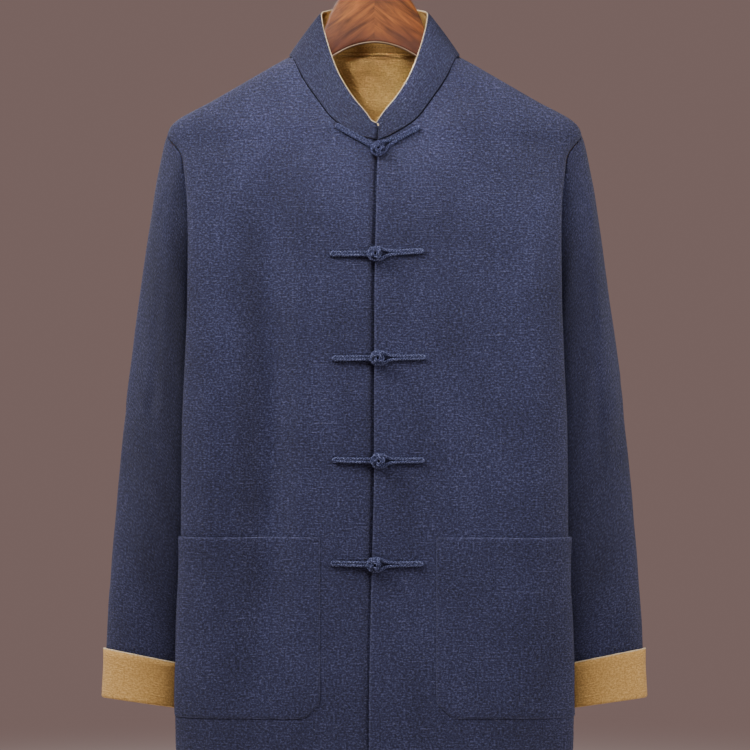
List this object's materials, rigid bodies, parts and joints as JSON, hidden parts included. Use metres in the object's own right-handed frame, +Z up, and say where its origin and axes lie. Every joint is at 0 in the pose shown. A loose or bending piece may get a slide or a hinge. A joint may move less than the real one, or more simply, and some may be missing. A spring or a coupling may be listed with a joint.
{
  "type": "tang jacket on a wooden hanger",
  "caption": "Hip-length stand-collar tang jacket with straight frog closures, patch pockets and turned-back cuffs, buttoned and hung on a flat wooden hanger with a wire hook.",
  "frame": {"origin": "inside top of the hanger's hook, where the rail touches it", "axes": "+Z up along the jacket's length, +X towards the wearer's left, -Y to the front"},
  "size_m": [0.5944, 0.1833, 0.8943],
  "materials": {
    "navy_cloth": "slubby plain-weave linen and cotton, matt",
    "mustard_lining": "plain-weave reverse side, matt",
    "navy_cord": "bias cord of the same cloth, matt",
    "hanger_wood": "red-brown stain under gloss varnish",
    "hook_metal": "polished plate"
  },
  "bodies": {
    "root": {"front_left": "navy_cloth", "front_right": "navy_cloth", "back": "navy_cloth", "sleeve_left": "navy_cloth", "sleeve_right": "navy_cloth", "collar": "navy_cloth", "pocket_left": "navy_cloth", "pocket_right": "navy_cloth", "cuff_left": "mustard_lining", "cuff_right": "mustard_lining", "collar_lining": "mustard_lining", "back_lining": "mustard_lining", "frog_1_stem": "navy_cord", "frog_1_loop": "navy_cord", "frog_1_knot": "navy_cord", "frog_2_stem": "navy_cord", "frog_2_loop": "navy_cord", "frog_2_knot": "navy_cord", "frog_3_stem": "navy_cord", "frog_3_loop": "navy_cord", "frog_3_knot": "navy_cord", "frog_4_stem": "navy_cord", "frog_4_loop": "navy_cord", "frog_4_knot": "navy_cord", "frog_5_stem": "navy_cord", "frog_5_loop": "navy_cord", "frog_5_knot": "navy_cord", "hanger": "hanger_wood", "hook": "hook_metal", "ferrule": "hook_metal"}
  },
  "joints": []
}
